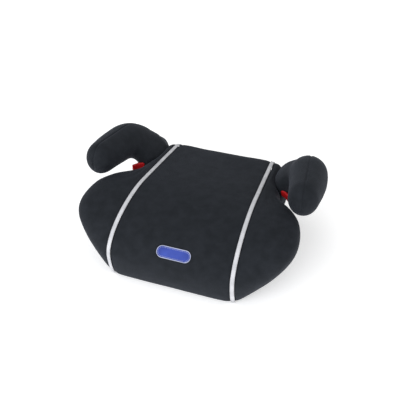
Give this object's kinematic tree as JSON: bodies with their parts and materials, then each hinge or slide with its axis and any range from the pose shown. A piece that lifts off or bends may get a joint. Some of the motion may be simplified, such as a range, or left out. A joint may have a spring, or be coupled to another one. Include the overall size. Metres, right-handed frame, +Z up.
{
  "type": "booster seat",
  "caption": "Backless child booster seat: padded fabric seat with side wings, two horn-shaped padded arms over lap-belt slots, on a ribbed plastic base shell.",
  "frame": {"origin": "on the floor, in the middle of the seat's width, 176 mm behind the foremost point of the front", "axes": "+Z up, -Y towards the front that the child's legs hang over, +X to the right as seen from the front; metres"},
  "size_m": [0.464, 0.3472, 0.1918],
  "materials": {
    "knit_fabric": "matte",
    "light_trim": "matte",
    "label_weave": "matte",
    "hem_fabric": "matte",
    "foam": "matte",
    "shell_plastic": "matte",
    "core_plastic": "matte",
    "guide_plastic": "satin",
    "rubber": "matte",
    "elastic": "matte",
    "zinc_steel": "satin",
    "black_steel": "satin",
    "brass": "satin"
  },
  "bodies": {
    "root": {"base_shell": "shell_plastic", "rubber_feet": "rubber", "seat_foam": "foam", "side_foam_left": "foam", "side_foam_right": "foam", "cover_center": "knit_fabric", "cover_side_left": "knit_fabric", "cover_side_right": "knit_fabric", "piping_left": "light_trim", "piping_right": "light_trim", "front_label": "label_weave", "hem_band": "hem_fabric", "hem_elastic": "elastic", "elastic_loops": "elastic", "arm_core_inner_left": "core_plastic", "arm_core_inner_right": "core_plastic", "arm_core_outer_left": "core_plastic", "arm_core_outer_right": "core_plastic", "arm_foam_left": "foam", "arm_foam_right": "foam", "arm_cover_left": "knit_fabric", "arm_cover_right": "knit_fabric", "belt_guide_left": "guide_plastic", "belt_guide_right": "guide_plastic", "belt_guide_screws": "black_steel", "arm_core_screws": "zinc_steel", "arm_bolts": "zinc_steel", "arm_washers": "zinc_steel", "arm_inserts": "brass"}
  },
  "joints": []
}
